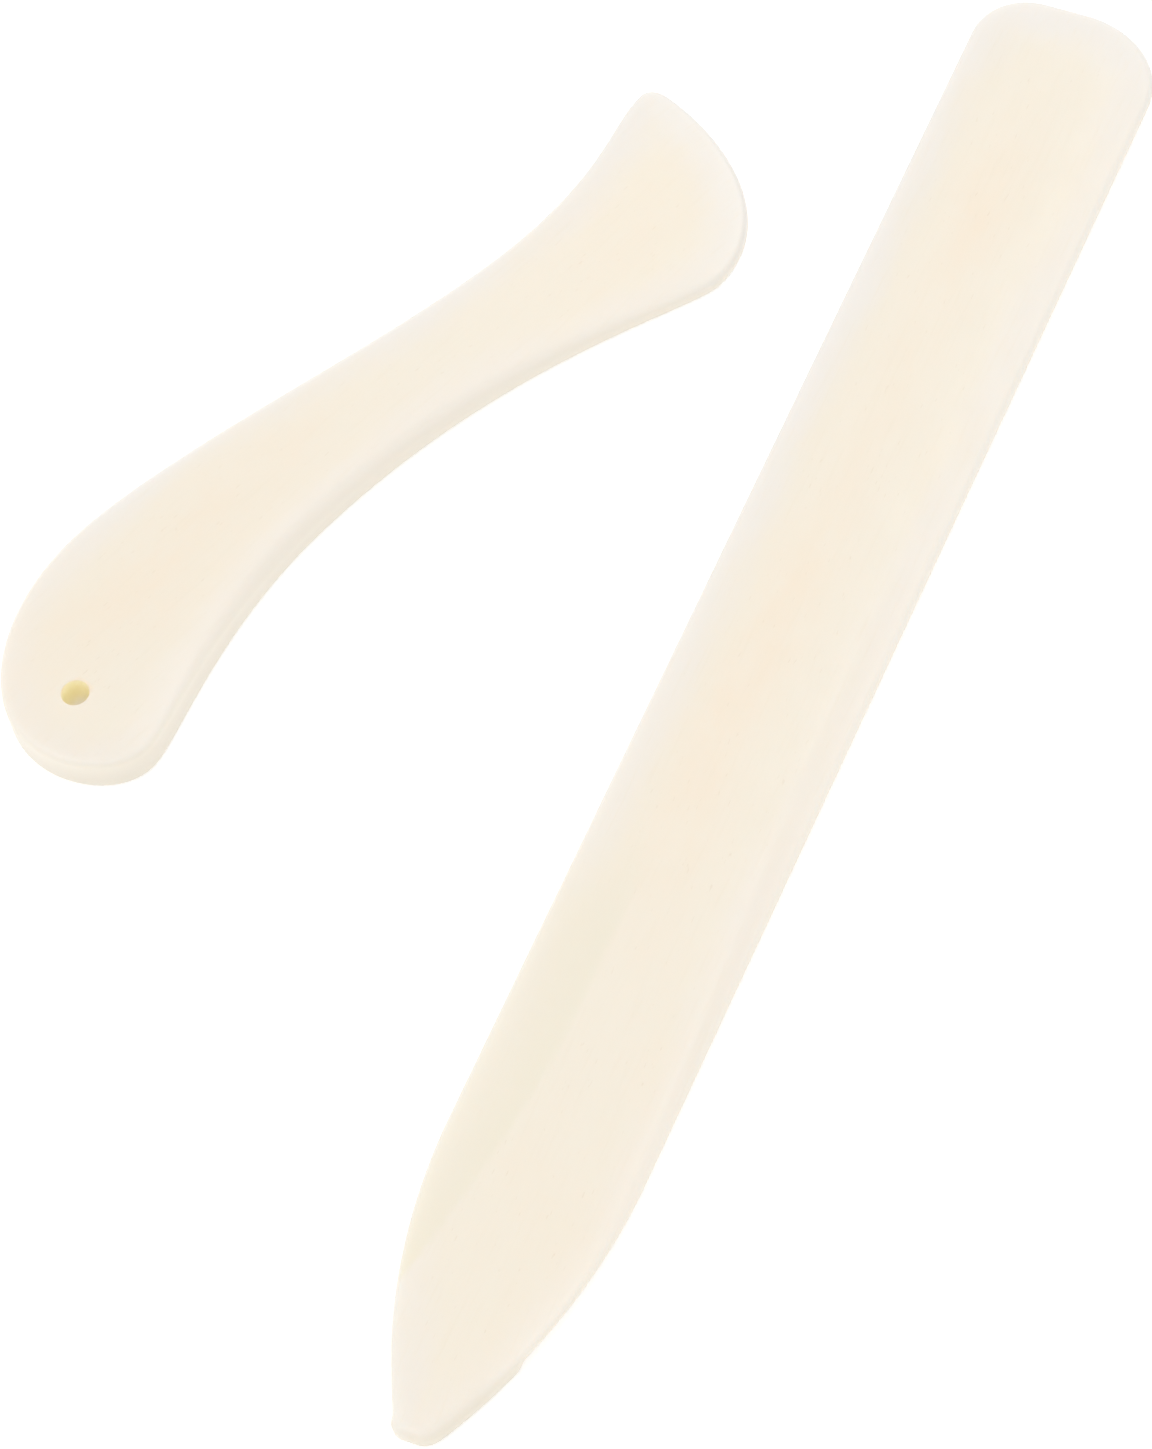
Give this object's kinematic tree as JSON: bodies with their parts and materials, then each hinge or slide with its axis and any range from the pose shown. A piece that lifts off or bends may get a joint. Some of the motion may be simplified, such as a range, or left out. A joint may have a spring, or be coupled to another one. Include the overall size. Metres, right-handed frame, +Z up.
{
  "type": "pair of bone folders",
  "caption": "Pair of bone folders for creasing and smoothing paper: a long straight one with a blunt point and a short curved one with a fan blade and a cord hole.",
  "frame": {"origin": "middle of the pair's footprint, on the surface that both tools lie on", "axes": "+X along the straight folder from its point to its square end, +Y towards the curved folder, +Z up"},
  "size_m": [0.16, 0.079, 0.0044],
  "materials": {
    "straight_bone": "satin, polished bone",
    "curved_bone": "satin, polished bone"
  },
  "bodies": {
    "straight": {"straight_folder": "straight_bone"},
    "curved": {"curved_folder": "curved_bone"}
  },
  "joints": [
    {"name": "curved_folder_lift", "type": "slide", "parent": "straight", "child": "curved", "axis": [0, 0, 1], "range_m": [0, 0.03]}
  ]
}
